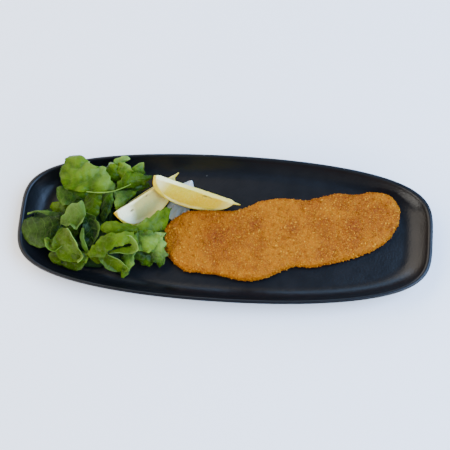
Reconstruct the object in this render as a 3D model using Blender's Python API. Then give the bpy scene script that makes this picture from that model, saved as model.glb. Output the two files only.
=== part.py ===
"""A crumbed schnitzel with a leaf salad, two lemon wedges and a pale leaf rib on a long black platter.

Metres, +Z up.  The origin is the middle of the platter's foot.  +X runs along the platter from the
salad to the far end of the schnitzel, and +Y points away from the diner.
"""
import math

import bmesh
import bpy
from mathutils import Vector

MM = 0.001
GAP = 0.3 * MM                      # between pieces that touch

# platter: a barrel-shaped tray with a rounded rim and a foot ring
PLATE_HALF_LENGTH = 175.0 * MM
PLATE_HALF_WIDTH = 65.6 * MM
PLATE_POWER_X = 2.06                # about 2 bows the long sides
PLATE_POWER_Y = 3.91                # about 4 flattens the short ends
PLATE_HEIGHT = 18.0 * MM
FLOOR_TOP = 6.0 * MM
FLOOR_BOTTOM = 1.6 * MM
RIM_WIDTH = 3.4 * MM
RIM_ROUND = 1.6 * MM                # the rim's top rounds down this far on both sides
WALL_DROP = 1.4 * MM                # the inner wall starts this far under the rim's top
WALL_CURVE = 2.4                    # power of the inner wall's sweep into the floor
WALL_RUN = 19.0 * MM                # from the rim's outside to the flat floor, across the long sides
END_STRETCH = 1.3                   # the walls lean out further at the two ends
FOOT_INSET = 15.0 * MM
FOOT_WIDTH = 4.0 * MM
OUTER_WALL = [                      # inset and height in mm, from the foot up to the rim
    (14.2, 0.9), (11.5, 2.4), (7.6, 5.2), (3.6, 9.6), (1.0, 14.0), (0.0, 16.4),
]
WALL_STEPS = 8
PLATE_SIDES = 96

# schnitzel: a flat escalope, widest at the salad end, with a bay in its near edge
MEAT_THICKNESS = 9.2 * MM
MEAT_EDGE = 5.0 * MM                # the crust rounds over this far in from the edge
MEAT_RIM = 3.6 * MM                 # thickness left at the very edge, before it rounds over
MEAT_UNDERCUT = 2.4 * MM            # the edge lifts this far off the platter
MEAT_BULGE = 0.10                   # the middle of a rung is thicker than its ends by this share
MEAT_WAVE = 0.05                    # and broad waves add or take this share
MEAT_LEFT_TIP = (-51.0, -10.0)
MEAT_RIGHT_TIP = (147.6, 20.0)
MEAT_FAR_EDGE = [(-49.0, -2.0), (-41.0, 8.0), (-28.0, 15.2), (5.0, 16.4), (20.0, 21.3), (32.0, 27.8),
                 (50.0, 30.6), (68.0, 30.6), (82.0, 34.2), (95.0, 38.4), (107.0, 37.6),
                 (124.0, 41.0), (138.0, 38.0), (145.8, 29.0)]
MEAT_NEAR_EDGE = [(-49.5, -18.0), (-43.5, -28.0), (-31.0, -37.0), (-14.0, -39.6), (3.0, -40.4),
                  (20.0, -43.6), (36.0, -40.8), (50.0, -33.6), (62.0, -28.2), (80.0, -27.6),
                  (100.0, -21.4), (122.0, -13.0), (137.5, -1.4), (145.6, 12.0)]
MEAT_RUNGS = 44
MEAT_AROUND = 13                    # points over the top of one rung

# lemon wedges: an eighth and a sixth of a small lemon, standing on their rind with the core edge up;
# each cut face leans back, so that it looks up by the degrees given, and the core is trimmed flat
LEMON_RADIUS = 26.2 * MM
LEMON_STATIONS = 18
LEMON_ARC = 8
LEMON_BODY = 0.93                   # share of the length that the round body takes
LEMON_BLUNT = 2.3                   # more than 2 makes the body's ends blunter than a ball's
LEMON_END = 1.2 * MM                # least radius, at the two ends
NIPPLE_START = 0.82                 # share of the length where the rind draws in to the nipple
NIPPLE_RADIUS = 4.0 * MM
RIGHT_WEDGE_STEM = Vector((-56.8, 28.0, 54.4)) * MM
RIGHT_WEDGE_TIP = Vector((13.2, 19.8, 19.2)) * MM
RIGHT_WEDGE_NEAR_LEAN = 19.0
RIGHT_WEDGE_FAR_LEAN = 24.0
RIGHT_WEDGE_CORE = 4.0 * MM
LEFT_WEDGE_STEM = Vector((-87.4, -2.2, 42.4)) * MM
LEFT_WEDGE_TIP = Vector((-40.9, 45.0, 23.2)) * MM
LEFT_WEDGE_NEAR_LEAN = 28.0
LEFT_WEDGE_FAR_LEAN = 27.0
LEFT_WEDGE_CORE = 1.4 * MM

# pale leaf rib, lying flat between the wedges and the schnitzel
RIB_START = Vector((-47.5, 13.0, 0.0)) * MM
RIB_TIP = Vector((-31.5, 44.0, 0.0)) * MM
RIB_WIDTH = 13.0 * MM
RIB_THICKNESS = 1.9 * MM
RIB_SECTION = [(-1.0, 0.35), (-0.5, 0.85), (0.0, 1.0), (0.5, 0.85), (1.0, 0.35)]   # side and height
RIB_STATIONS = 12

# salad: a heap of leaves out to its uneven outline
SALAD_CENTRE = Vector((-109.0, 1.0, 0.0)) * MM
SALAD_REACH = 42.0 * MM             # outline between the lobes
SALAD_HEIGHT = 32.0 * MM            # above the platter, in the middle
SALAD_EDGE_HEIGHT = 11.0 * MM
SALAD_DOME_RADIUS = 78.0 * MM       # the heap has come down to its edge height this far out
SALAD_RIM_CLEARANCE = 2.0 * MM      # kept from the platter's rim
SALAD_LIFT = 1.2 * MM               # the heap's edge stands off the platter's wall
SALAD_LOBES = [                     # bearing in degrees, reach in mm, half width in degrees
    (8.0, 62.0, 15.0),              # leaf against the schnitzel
    (62.0, 64.0, 20.0),             # curly leaf at the far side
    (114.0, 60.0, 17.0),            # tall leaf over the far rim
    (190.0, 60.0, 21.0),            # round lobe at the end of the platter
    (234.0, 50.0, 17.0),            # scalloped near leaf
    (304.0, 55.0, 11.0),            # pointed near leaf
    (334.0, 66.0, 13.0),            # crinkled leaf beside the schnitzel
]
SALAD_AROUND = 72
SALAD_RINGS = 9


def material(name, colour, roughness):
    """A plain Principled material, kept for the part's own look."""
    made = bpy.data.materials.new(name)
    made.use_nodes = True
    shader = made.node_tree.nodes["Principled BSDF"]
    shader.inputs["Base Color"].default_value = (*colour, 1.0)
    shader.inputs["Roughness"].default_value = roughness
    shader.inputs["Metallic"].default_value = 0.0
    made.diffuse_color = (*colour, 1.0)
    return made


def finish(name, mesh_data, surface, crease_degrees=40.0):
    """Put a bmesh into the scene as a smooth-shaded object with its material."""
    bmesh.ops.recalc_face_normals(mesh_data, faces=mesh_data.faces)
    mesh = bpy.data.meshes.new(name)
    mesh_data.to_mesh(mesh)
    mesh_data.free()
    mesh.shade_smooth()
    mesh.set_sharp_from_angle(angle=math.radians(crease_degrees))
    mesh.materials.append(surface)
    made = bpy.data.objects.new(name, mesh)
    bpy.context.scene.collection.objects.link(made)
    return made


def rings_to_solid(rings):
    """Skin a row of equal rings of points, and cap its first and last ring."""
    solid = bmesh.new()
    rows = [[solid.verts.new(point) for point in ring] for ring in rings]
    count = len(rows[0])
    for row, following in zip(rows, rows[1:]):
        for i in range(count):
            j = (i + 1) % count
            solid.faces.new((row[i], row[j], following[j], following[i]))
    solid.faces.new(list(reversed(rows[0])))
    solid.faces.new(rows[-1])
    return solid


def smooth_run(points, count):
    """Even steps along a Catmull-Rom curve through the points, ends included."""
    padded = [points[0] * 2 - points[1]] + points + [points[-1] * 2 - points[-2]]
    dense = []
    steps = 24
    for a, b, c, d in zip(padded, padded[1:], padded[2:], padded[3:]):
        for k in range(steps):
            t = k / steps
            dense.append(0.5 * (2 * b + (c - a) * t + (2 * a - 5 * b + 4 * c - d) * t * t
                                + (3 * b - a - 3 * c + d) * t * t * t))
    dense.append(points[-1])
    reach = [0.0]
    for before, after in zip(dense, dense[1:]):
        reach.append(reach[-1] + (after - before).length)
    run = []
    k = 0
    for i in range(count):
        wanted = reach[-1] * i / (count - 1)
        while k < len(reach) - 2 and reach[k + 1] < wanted:
            k += 1
        share = (wanted - reach[k]) / (reach[k + 1] - reach[k])
        run.append(dense[k].lerp(dense[k + 1], min(1.0, share)))
    return run


# ---------------------------------------------------------------- platter

def plate_point(turn, inset):
    """A point of the platter's outline, drawn in by the inset, at one turn round it."""
    length = PLATE_HALF_LENGTH - inset * END_STRETCH
    width = PLATE_HALF_WIDTH - inset
    c = math.cos(turn)
    s = math.sin(turn)
    x = length * math.copysign(abs(c) ** (2 / PLATE_POWER_X), c)
    y = width * math.copysign(abs(s) ** (2 / PLATE_POWER_Y), s)
    return x, y


def even_turns(count):
    """Turns that step evenly along the outline, so that its corners are as round as its sides."""
    dense = 4000
    reach = [0.0]
    before = plate_point(0.0, 0.0)
    for i in range(1, dense + 1):
        here = plate_point(2 * math.pi * i / dense, 0.0)
        reach.append(reach[-1] + math.dist(before, here))
        before = here
    turns = []
    k = 0
    for i in range(count):
        while reach[k] < reach[-1] * i / count:
            k += 1
        turns.append(2 * math.pi * k / dense)
    return turns


def inner_height(inset):
    """Height of the platter's inside at an inset from its outline: steep wall, fillet, flat floor."""
    if inset <= RIM_WIDTH:
        return PLATE_HEIGHT
    share = min(1.0, (inset - RIM_WIDTH) / (WALL_RUN - RIM_WIDTH))
    return FLOOR_TOP + (PLATE_HEIGHT - WALL_DROP - FLOOR_TOP) * (1 - share) ** WALL_CURVE


def plate_profile():
    """Inset and height of each ring, from under the floor, out over the rim, and in to the floor."""
    foot_inner = FOOT_INSET + FOOT_WIDTH
    profile = [(foot_inner + FLOOR_BOTTOM, FLOOR_BOTTOM), (foot_inner, 0.0), (FOOT_INSET, 0.0)]
    profile += [(inset * MM, height * MM) for inset, height in OUTER_WALL]
    for degrees in (30, 60, 90, 120, 150):
        turn = math.radians(degrees)
        across = RIM_WIDTH / 2 * (1 - math.cos(turn))
        profile.append((across, PLATE_HEIGHT - RIM_ROUND * (1 - math.sin(turn))))
    for step in range(WALL_STEPS + 1):
        just_inside = RIM_WIDTH + 0.001 * MM
        inset = just_inside + (WALL_RUN - RIM_WIDTH) * (step / WALL_STEPS)
        profile.append((inset, inner_height(inset)))
    return profile


def make_plate():
    turns = even_turns(PLATE_SIDES)
    rings = []
    for inset, height in plate_profile():
        rings.append([Vector((*plate_point(turn, inset), height)) for turn in turns])
    surface = material("matte_black_melamine", (0.018, 0.020, 0.026), 0.42)
    return finish("plate", rings_to_solid(rings), surface)


def plate_inset_at(x, y):
    """The inset whose outline passes through a point."""
    low = -5.0 * MM
    high = PLATE_HALF_WIDTH - 0.5 * MM
    for _ in range(40):
        middle = (low + high) / 2
        across = abs(x) / (PLATE_HALF_LENGTH - middle * END_STRETCH)
        along = abs(y) / (PLATE_HALF_WIDTH - middle)
        if across ** PLATE_POWER_X + along ** PLATE_POWER_Y < 1.0:
            low = middle
        else:
            high = middle
    return low


# ---------------------------------------------------------------- schnitzel

def make_schnitzel(name, grow=0.0):
    """Rungs from the near edge to the far edge, each a closed slice with rounded crust edges.

    The slice rides up a little where it meets the platter's fillet.
    """
    tips = [Vector((*tip, 0.0)) * MM for tip in (MEAT_LEFT_TIP, MEAT_RIGHT_TIP)]
    far = [Vector((*point, 0.0)) * MM for point in MEAT_FAR_EDGE]
    near = [Vector((*point, 0.0)) * MM for point in MEAT_NEAR_EDGE]
    far_run = smooth_run([tips[0]] + far + [tips[1]], MEAT_RUNGS)
    near_run = smooth_run([tips[0]] + near + [tips[1]], MEAT_RUNGS)
    bottom = FLOOR_TOP + GAP - grow
    rings = []
    for far_point, near_point in zip(far_run[1:-1], near_run[1:-1]):
        middle = (far_point + near_point) / 2
        half = (far_point - near_point) / 2
        width = half.length
        half = half * (1 + grow / width)
        over = []
        under = []
        for i in range(MEAT_AROUND):
            side = math.sin(math.pi / 2 * (2 * i / (MEAT_AROUND - 1) - 1))
            inward = (1 - abs(side)) * width
            share = min(1.0, inward / MEAT_EDGE)
            rounded = math.sqrt(1 - (1 - share) ** 2)
            place = middle + half * side
            wave = math.sin(place.x * 61 + 1.3) * math.sin(place.y * 83 + 0.6)
            dome = 1 - MEAT_BULGE * side * side + MEAT_WAVE * wave
            top = bottom + MEAT_RIM + (MEAT_THICKNESS * dome - MEAT_RIM) * rounded + grow
            low = bottom + MEAT_UNDERCUT * (1 - rounded)
            lift = inner_height(plate_inset_at(place.x, place.y)) - FLOOR_TOP
            over.append(Vector((place.x, place.y, top + lift)))
            under.append(Vector((place.x, place.y, low + lift)))
        rings.append(over + list(reversed(under)))
    surface = material("golden_crumb_crust", (0.43, 0.19, 0.03), 0.75)
    return finish(name, rings_to_solid(rings), surface, 60.0)


# ---------------------------------------------------------------- lemon wedges

def lemon_radius(share):
    """Radius of the lemon at a share of its length: a blunt stem end and a drawn-out nipple."""
    from_middle = abs(2 * min(share, LEMON_BODY) / LEMON_BODY - 1)
    body = LEMON_RADIUS * math.sqrt(1 - from_middle ** LEMON_BLUNT)
    if share < NIPPLE_START:
        return body
    nipple = NIPPLE_RADIUS * math.sqrt(max(0.0, (1 - share) / (1 - NIPPLE_START)))
    return max(body, nipple)


def make_wedge(name, stem, tip, near_lean, far_lean, core_width, grow=0.0):
    """A sector of the lemon, lofted from its stem to its nipple about the core edge.

    Growing it moves every face out, so the sharp core edge rises by more than the growth.
    """
    along = (tip - stem).normalized()
    near_side = along.cross(Vector((0, 0, 1))).normalized()
    if near_side.y > 0:
        near_side.negate()
    up = near_side.cross(along).normalized()
    if up.z < 0:
        up.negate()
    edge_rise = grow / math.sin(math.radians(near_lean + far_lean) / 2)
    start = stem - along * grow
    length = (tip - stem).length + 2 * grow
    rings = []
    for i in range(LEMON_STATIONS):
        share = 0.5 - 0.5 * math.cos(math.pi * (i + 0.35) / (LEMON_STATIONS - 0.3))
        core = start + along * (length * share) + up * edge_rise
        radius = max(lemon_radius(share), LEMON_END) + grow + edge_rise
        half_core = core_width / 2 * min(1.0, radius / LEMON_RADIUS * 2)
        ring = [core + near_side * half_core, core - near_side * half_core]
        for k in range(LEMON_ARC + 1):
            turn = math.radians(-far_lean + (near_lean + far_lean) * k / LEMON_ARC)
            ring.append(core + (near_side * math.sin(turn) - up * math.cos(turn)) * radius)
        rings.append(ring)
    surface = material(name + "_flesh", (0.66, 0.50, 0.12), 0.35)
    return finish(name, rings_to_solid(rings), surface)


# ---------------------------------------------------------------- pale rib

def make_rib(name, grow=0.0):
    """A flat strip with a pointed tip and a thicker middle, lying on the platter."""
    along = (RIB_TIP - RIB_START).normalized()
    across = Vector((-along.y, along.x, 0.0))
    length = (RIB_TIP - RIB_START).length
    base = FLOOR_TOP + GAP
    rings = []
    for i in range(RIB_STATIONS):
        share = i / (RIB_STATIONS - 1)
        half = RIB_WIDTH / 2 * (0.82 + 0.18 * math.sin(math.pi * share)) * min(1.0, 5 * (1.04 - share))
        half = half + grow
        centre = RIB_START + along * (length * share)
        ring = []
        for side, height in RIB_SECTION:
            top = base + RIB_THICKNESS * height + grow
            ring.append(centre + across * (half * side) + Vector((0, 0, top)))
        ring.append(centre + across * half + Vector((0, 0, base - grow)))
        ring.append(centre - across * half + Vector((0, 0, base - grow)))
        rings.append(ring)
    surface = material("pale_leaf_rib", (0.62, 0.66, 0.66), 0.4)
    return finish(name, rings_to_solid(rings), surface)


# ---------------------------------------------------------------- salad

def salad_reach(bearing):
    """Outline of the heap at a bearing: a round base with one lobe for each big leaf."""
    reach = SALAD_REACH
    for lobe_bearing, lobe_reach, lobe_width in SALAD_LOBES:
        apart = (bearing - lobe_bearing + 180.0) % 360.0 - 180.0
        lobe = (lobe_reach * MM - SALAD_REACH) * math.exp(-(apart / lobe_width) ** 4)
        reach = max(reach, SALAD_REACH + lobe)
    scallop = 1 + 0.03 * math.sin(math.radians(bearing) * 11) + 0.02 * math.sin(math.radians(bearing) * 17)
    return reach * scallop


def make_salad(cutters):
    """A domed, lumpy heap whose underside follows the platter, cleared around its neighbours."""
    rings = []
    for part in range(2 * SALAD_RINGS):
        upper = part >= SALAD_RINGS
        step = 2 * SALAD_RINGS - 1 - part if upper else part
        share = 0.04 + 0.96 * (step / (SALAD_RINGS - 1))
        ring = []
        for i in range(SALAD_AROUND):
            bearing = 360.0 * i / SALAD_AROUND
            turn = math.radians(bearing)
            reach = salad_reach(bearing) * share
            x = SALAD_CENTRE.x + reach * math.cos(turn)
            y = SALAD_CENTRE.y + reach * math.sin(turn)
            inset = plate_inset_at(x, y)
            while inset < RIM_WIDTH + SALAD_RIM_CLEARANCE:
                reach -= 0.5 * MM
                x = SALAD_CENTRE.x + reach * math.cos(turn)
                y = SALAD_CENTRE.y + reach * math.sin(turn)
                inset = plate_inset_at(x, y)
            height = inner_height(inset) + 2 * GAP + SALAD_LIFT * share ** 6
            if upper:
                lumps = 1 + 0.20 * math.sin(x * 150 + 0.7) * math.sin(y * 170 + 0.4)
                out = min(1.0, reach / SALAD_DOME_RADIUS)
                dome = (1 - out ** 1.8) * (SALAD_HEIGHT - SALAD_EDGE_HEIGHT)
                height += (dome + SALAD_EDGE_HEIGHT) * lumps * (1 - 0.55 * share ** 5)
            ring.append(Vector((x, y, height)))
        rings.append(ring)
    surface = material("lettuce_green", (0.10, 0.20, 0.02), 0.45)
    heap = finish("salad", rings_to_solid(rings), surface, 50.0)
    for cutter in cutters:
        cutter.hide_render = True
        cutter.display_type = "WIRE"
        clear = heap.modifiers.new("clear_" + cutter.name, "BOOLEAN")
        clear.operation = "DIFFERENCE"
        clear.solver = "EXACT"
        clear.object = cutter
    return heap


for old in list(bpy.data.objects):
    bpy.data.objects.remove(old, do_unlink=True)

right_wedge = (RIGHT_WEDGE_STEM, RIGHT_WEDGE_TIP, RIGHT_WEDGE_NEAR_LEAN, RIGHT_WEDGE_FAR_LEAN,
               RIGHT_WEDGE_CORE)
left_wedge = (LEFT_WEDGE_STEM, LEFT_WEDGE_TIP, LEFT_WEDGE_NEAR_LEAN, LEFT_WEDGE_FAR_LEAN,
              LEFT_WEDGE_CORE)
make_plate()
make_schnitzel("schnitzel")
make_wedge("lemon_wedge_right", *right_wedge)
make_wedge("lemon_wedge_left", *left_wedge)
make_rib("pale_rib")
make_salad([
    make_schnitzel("schnitzel_room", GAP * 2),
    make_wedge("right_wedge_room", *right_wedge, GAP * 2),
    make_wedge("left_wedge_room", *left_wedge, GAP * 2),
    make_rib("pale_rib_room", GAP * 2),
])
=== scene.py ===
"""Crumbed schnitzel with lettuce, two lemon wedges and a pale leaf rib on a long black platter."""
import math

import bmesh
import bpy
import numpy as np
from mathutils import Matrix, Vector, noise


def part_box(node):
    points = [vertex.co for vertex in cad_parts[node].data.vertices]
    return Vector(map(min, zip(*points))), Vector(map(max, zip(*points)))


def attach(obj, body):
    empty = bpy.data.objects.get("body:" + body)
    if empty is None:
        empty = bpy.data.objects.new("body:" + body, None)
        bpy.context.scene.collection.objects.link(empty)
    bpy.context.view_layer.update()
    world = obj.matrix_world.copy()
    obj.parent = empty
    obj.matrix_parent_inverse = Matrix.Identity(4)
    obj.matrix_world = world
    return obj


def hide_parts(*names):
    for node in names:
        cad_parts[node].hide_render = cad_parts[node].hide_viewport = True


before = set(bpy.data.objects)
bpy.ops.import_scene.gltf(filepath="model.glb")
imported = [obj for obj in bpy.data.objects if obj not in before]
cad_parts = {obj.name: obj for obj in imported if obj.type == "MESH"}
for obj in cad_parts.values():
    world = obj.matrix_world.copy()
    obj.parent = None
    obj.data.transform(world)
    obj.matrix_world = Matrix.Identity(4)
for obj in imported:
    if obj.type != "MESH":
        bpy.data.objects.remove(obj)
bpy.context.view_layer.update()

# ---------------------------------------------------------------------------
# Table, camera and light.  The platter stands on a plain pale table and is seen from above its near
# side.  Bluish window light comes from the far side and from the right, warm room light from the
# left, and two small fills stand low at the near corners.
# ---------------------------------------------------------------------------

MM = 0.001
view_target = Vector((0.0, 0.0, 0.018))
view_azimuth = math.radians(14.4)
view_elevation = math.radians(70.0)
view_roll = math.radians(-10.2)
view_distance = 0.999

towards_camera = Vector((math.sin(view_azimuth) * math.cos(view_elevation),
                         -math.cos(view_azimuth) * math.cos(view_elevation),
                         math.sin(view_elevation)))
level_right = Vector((math.cos(view_azimuth), math.sin(view_azimuth), 0.0))
level_up = towards_camera.cross(level_right)
right = level_right * math.cos(view_roll) + level_up * math.sin(view_roll)
up = level_up * math.cos(view_roll) - level_right * math.sin(view_roll)

camera_data = bpy.data.cameras.new("camera")
camera_data.sensor_width = 36.0
camera_data.lens = 95.0
camera_data.shift_x = 0.0042
camera_data.shift_y = 0.0033
camera = bpy.data.objects.new("camera", camera_data)
turned = Matrix((right, up, towards_camera)).transposed().to_4x4()
camera.matrix_world = Matrix.Translation(view_target + towards_camera * view_distance) @ turned
bpy.context.scene.collection.objects.link(camera)
bpy.context.scene.camera = camera


def soft_panel(name, place, size, watts, colour):
    """An oblong lighting panel that faces the platter."""
    data = bpy.data.lights.new(name, "AREA")
    data.shape = "RECTANGLE"
    data.size = size[0]
    data.size_y = size[1]
    data.energy = watts
    data.color = colour
    lamp = bpy.data.objects.new(name, data)
    lamp.location = place
    lamp.rotation_euler = (-Vector(place)).to_track_quat("-Z", "Y").to_euler()
    bpy.context.scene.collection.objects.link(lamp)


soft_panel("left_panel", (-1.4, 0.75, 1.15), (2.8, 2.2), 88.0, (1.0, 0.88, 0.73))
soft_panel("far_window", (0.1, 1.8, 0.85), (3.0, 0.9), 36.0, (0.38, 0.62, 1.0))
soft_panel("right_window", (1.14, -0.10, 1.28), (1.7, 1.6), 118.0, (0.36, 0.57, 1.0))
soft_panel("near_left_fill", (-1.3, -1.2, 0.55), (1.3, 0.8), 32.0, (1.0, 0.95, 0.86))
soft_panel("near_right_fill", (1.3, -1.3, 0.55), (1.3, 0.8), 32.0, (1.0, 0.95, 0.86))

world = bpy.data.worlds.new("room")
world.use_nodes = True
world.node_tree.nodes["Background"].inputs["Color"].default_value = (0.70, 0.84, 1.0, 1.0)
world.node_tree.nodes["Background"].inputs["Strength"].default_value = 0.34
bpy.context.scene.world = world


def new_material(name, roughness, **sockets):
    """A Principled material, and the pieces of its tree that the detail is wired to."""
    made = bpy.data.materials.new(name)
    made.use_nodes = True
    shader = made.node_tree.nodes["Principled BSDF"]
    shader.inputs["Roughness"].default_value = roughness
    for socket, value in sockets.items():
        shader.inputs[socket.replace("_", " ")].default_value = value
    return made, made.node_tree, shader


def put(tree, kind, links=(), **settings):
    """Add a node, set its settings, and feed its inputs with values or with other nodes' outputs."""
    node = tree.nodes.new(kind)
    for key, value in settings.items():
        setattr(node, key, value)
    for socket, value in dict(links).items():
        if isinstance(value, bpy.types.NodeSocket):
            tree.links.new(value, node.inputs[socket])
        else:
            node.inputs[socket].default_value = value
    return node


def calc(tree, operation, first, second=0.0, clamp=False):
    """One sum on values."""
    node = put(tree, "ShaderNodeMath", {0: first, 1: second}, operation=operation)
    node.use_clamp = clamp
    return node.outputs[0]


def blend_colours(tree, share, first, second):
    """Mix two colours by a share from 0 to 1."""
    node = put(tree, "ShaderNodeMix", data_type="RGBA")
    for socket, value in ((0, share), (6, first), (7, second)):
        if isinstance(value, bpy.types.NodeSocket):
            tree.links.new(value, node.inputs[socket])
        elif socket == 0:
            node.inputs[socket].default_value = value
        else:
            node.inputs[socket].default_value = (*value, 1.0)
    return node.outputs[2]


def speckle_group():
    """Uneven natural surface: a soft blotch, a fine grain and small cells at one stated size."""
    group = bpy.data.node_groups.new("natural_unevenness", "ShaderNodeTree")
    for name, value in (("Blotch Size", 0.02), ("Grain Size", 0.001), ("Seed", 0.0)):
        socket = group.interface.new_socket(name=name, in_out="INPUT", socket_type="NodeSocketFloat")
        socket.default_value = value
    for name in ("Blotch", "Grain", "Cells"):
        group.interface.new_socket(name=name, in_out="OUTPUT", socket_type="NodeSocketFloat")
    given = group.nodes.new("NodeGroupInput")
    result = group.nodes.new("NodeGroupOutput")
    place = put(group, "ShaderNodeTexCoord").outputs["Object"]
    blotch_scale = calc(group, "DIVIDE", 1.0, given.outputs["Blotch Size"])
    grain_scale = calc(group, "DIVIDE", 1.0, given.outputs["Grain Size"])
    blotch = put(group, "ShaderNodeTexNoise",
                 {"Vector": place, "W": given.outputs["Seed"], "Scale": blotch_scale, "Detail": 3.0},
                 noise_dimensions="4D")
    grain = put(group, "ShaderNodeTexNoise",
                {"Vector": place, "W": given.outputs["Seed"], "Scale": grain_scale, "Detail": 2.0},
                noise_dimensions="4D")
    cells = put(group, "ShaderNodeTexVoronoi", {"Vector": place, "Scale": grain_scale},
                feature="SMOOTH_F1")
    group.links.new(blotch.outputs["Fac"], result.inputs["Blotch"])
    group.links.new(grain.outputs["Fac"], result.inputs["Grain"])
    group.links.new(cells.outputs["Distance"], result.inputs["Cells"])
    return group


natural_unevenness = speckle_group()


def unevenness(tree, blotch_mm, grain_mm, seed=0.0):
    """Place the shared unevenness in a material with its own sizes."""
    node = put(tree, "ShaderNodeGroup", node_tree=natural_unevenness)
    node.inputs["Blotch Size"].default_value = blotch_mm * MM
    node.inputs["Grain Size"].default_value = grain_mm * MM
    node.inputs["Seed"].default_value = seed
    return node.outputs


table_material, table_tree, table_shader = new_material("pale_table", 0.7)
table_spots = unevenness(table_tree, 60.0, 3.0)
table_colour = blend_colours(table_tree, table_spots["Blotch"], (0.90, 0.90, 0.90), (0.93, 0.93, 0.93))
table_tree.links.new(table_colour, table_shader.inputs["Base Color"])
table_reach = 3.0
table_corners = [(-table_reach, -table_reach, 0.0), (table_reach, -table_reach, 0.0),
                 (table_reach, table_reach, 0.0), (-table_reach, table_reach, 0.0)]
table_mesh = bpy.data.meshes.new("table")
table_mesh.from_pydata(table_corners, [], [(0, 1, 2, 3)])
table_mesh.materials.append(table_material)
table = bpy.data.objects.new("table", table_mesh)
bpy.context.scene.collection.objects.link(table)

# ---------------------------------------------------------------------------
# Platter.  Moulded melamine, matte black with a fine pebbled surface, barrel-shaped in plan with a
# rounded rim.  One tree turns a flat grid into its closed section, carried round the outline.
# ---------------------------------------------------------------------------

plate_low, plate_high = (Vector(corner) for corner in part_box("plate"))
plate_half_length = (plate_high.x - plate_low.x) / 2
plate_half_width = (plate_high.y - plate_low.y) / 2
plate_height = plate_high.z - plate_low.z
plate_floor = 6.0 * MM
plate_rim = 3.4 * MM
plate_wall_run = 19.0 * MM
plate_end_stretch = 1.3
plate_power_x = 2.06
plate_power_y = 3.91
plate_underside = 1.6 * MM
plate_rim_rise = 1.6 * MM
plate_lip_drop = 1.4 * MM
plate_wall_bow = 2.4


def plate_inner_height(inset):
    """Height of the platter's inside at an inset from its outline."""
    share = min(1.0, max(0.0, (inset - plate_rim) / (plate_wall_run - plate_rim)))
    return plate_floor + (plate_height - plate_lip_drop - plate_floor) * (1 - share) ** plate_wall_bow


def plate_section():
    """Inset and height in metres along the section: under the floor, foot, wall, rim, floor."""
    points = [(plate_half_width, plate_underside), (22.0 * MM, plate_underside), (19.8 * MM, 1.4 * MM),
              (19.1 * MM, 0.2 * MM), (18.6 * MM, 0.0), (15.4 * MM, 0.0), (14.8 * MM, 0.2 * MM),
              (14.0 * MM, 1.0 * MM), (11.5 * MM, 2.4 * MM), (7.6 * MM, 5.2 * MM),
              (3.6 * MM, 9.6 * MM), (1.0 * MM, 14.0 * MM), (0.0, plate_height - plate_rim_rise)]
    for degrees in range(20, 180, 20):
        turn = math.radians(degrees)
        points.append((plate_rim / 2 * (1 - math.cos(turn)),
                       plate_height - plate_rim_rise * (1 - math.sin(turn))))
    wall_steps = 13
    for step in range(1, wall_steps + 1):
        inset = plate_rim + (plate_wall_run - plate_rim) * (step / wall_steps) ** 1.2
        points.append((inset, plate_inner_height(inset)))
    points.append((30.0 * MM, plate_floor))
    points.append((plate_half_width, plate_floor))
    return points


def new_tree(name, sizes, counts=(), takes_mesh=True):
    """A geometry tree with named inputs for its sizes and counts, and for a mesh if it takes one."""
    tree = bpy.data.node_groups.new(name, "GeometryNodeTree")
    tree.interface.new_socket(name="Geometry", in_out="OUTPUT", socket_type="NodeSocketGeometry")
    if takes_mesh:
        tree.interface.new_socket(name="Geometry", in_out="INPUT", socket_type="NodeSocketGeometry")
    for size in sizes:
        tree.interface.new_socket(name=size, in_out="INPUT", socket_type="NodeSocketFloat")
    for count in counts:
        tree.interface.new_socket(name=count, in_out="INPUT", socket_type="NodeSocketInt")
    return tree, put(tree, "NodeGroupInput").outputs


def end_tree(tree, geometry, surface):
    """Make instances real, give the faces their material, and put them out."""
    whole = put(tree, "GeometryNodeRealizeInstances", {"Geometry": geometry})
    coated = put(tree, "GeometryNodeSetMaterial", {"Geometry": whole.outputs[0]})
    coated.inputs["Material"].default_value = surface
    put(tree, "NodeGroupOutput", {"Geometry": coated.outputs[0]})
    return tree


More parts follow.
